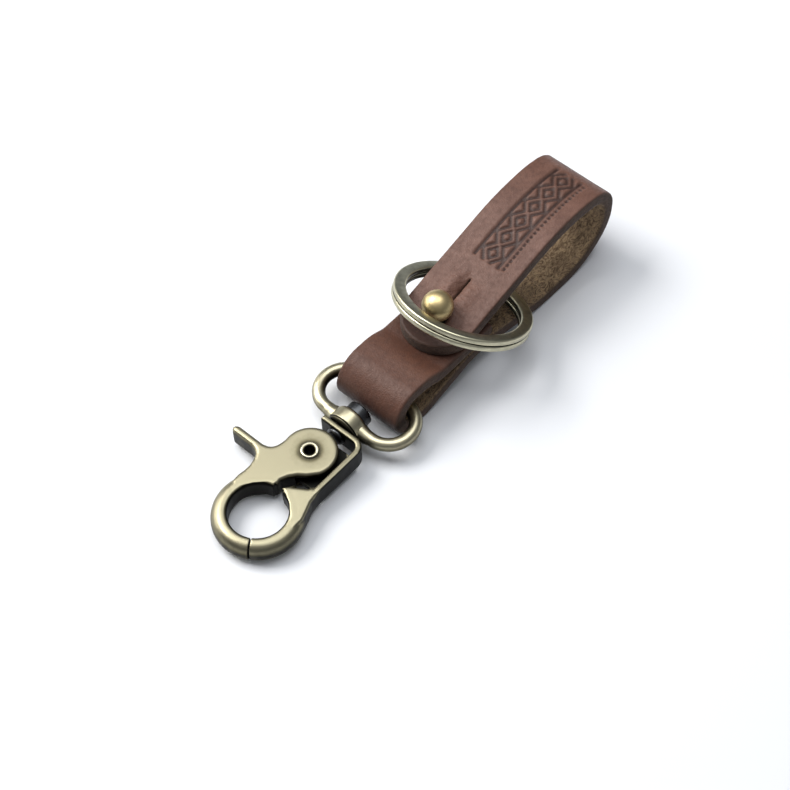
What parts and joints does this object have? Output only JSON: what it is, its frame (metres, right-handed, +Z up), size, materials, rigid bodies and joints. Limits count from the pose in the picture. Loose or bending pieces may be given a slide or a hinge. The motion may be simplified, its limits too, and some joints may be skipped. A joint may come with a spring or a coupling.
{
  "type": "belt loop keychain",
  "caption": "Leather belt-loop keychain: a folded strap that buttons on a ball stud, a split key ring on the strap and a swivel trigger snap hook.",
  "frame": {"origin": "middle of the footprint, on the surface that the keychain lies on", "axes": "+X along the strap from the hook to the belt loop, +Y across the strap towards the thumb lever, +Z up"},
  "size_m": [0.1176, 0.0348, 0.0231],
  "materials": {
    "leather": "brown vegetable-tanned leather, smooth grain outside, tan flesh side inside, dark edges",
    "stud_brass": "antique brass, polished",
    "ring_brass": "antique brass plate on spring steel, worn bright on its edges",
    "antique_brass": "antique brass plate, dark in the recesses, brushed bright on the faces",
    "dark_steel": "gunmetal black",
    "pale_brass": "antique brass, light",
    "spring_steel": "oiled spring steel"
  },
  "bodies": {
    "strap": {"strap": "leather", "stud_head": "stud_brass", "stud_screw": "stud_brass"},
    "flap": {"strap_flap": "leather"},
    "key_ring": {"split_ring": "ring_brass"},
    "eye": {"swivel_eye": "antique_brass"},
    "hook": {"hook_body": "antique_brass", "swivel_rivet": "dark_steel", "pivot_rivet": "pale_brass", "gate_spring": "spring_steel"},
    "gate": {"gate_lever": "antique_brass"}
  },
  "joints": [
    {"name": "flap_open", "type": "hinge", "parent": "strap", "child": "flap", "pos_m": [0.05877, 0, 0.01315], "axis": [0, 1, 0], "range_deg": [0, 90]},
    {"name": "ring_swing", "type": "hinge", "parent": "flap", "child": "key_ring", "pos_m": [0.02785, 0, 0.00676], "axis": [0, 1, 0], "range_deg": [0, 90]},
    {"name": "eye_swing", "type": "hinge", "parent": "strap", "child": "eye", "pos_m": [-0.00836, 0, 0.0049], "axis": [0, 1, 0], "range_deg": [0, 50]},
    {"name": "swivel", "type": "hinge", "parent": "eye", "child": "hook", "pos_m": [-0.00836, 0.0002, 0.0049], "axis": [0.9989, 0, 0.0468], "continuous": true},
    {"name": "gate_open", "type": "hinge", "parent": "hook", "child": "gate", "pos_m": [-0.03124, 0.0008, 0.00383], "axis": [-0.0468, 0, 0.9989], "range_deg": [-25, 0], "stiffness_Nm_per_rad": 0.01, "springref_deg": 20.05, "deforming": ["gate_spring"]}
  ]
}
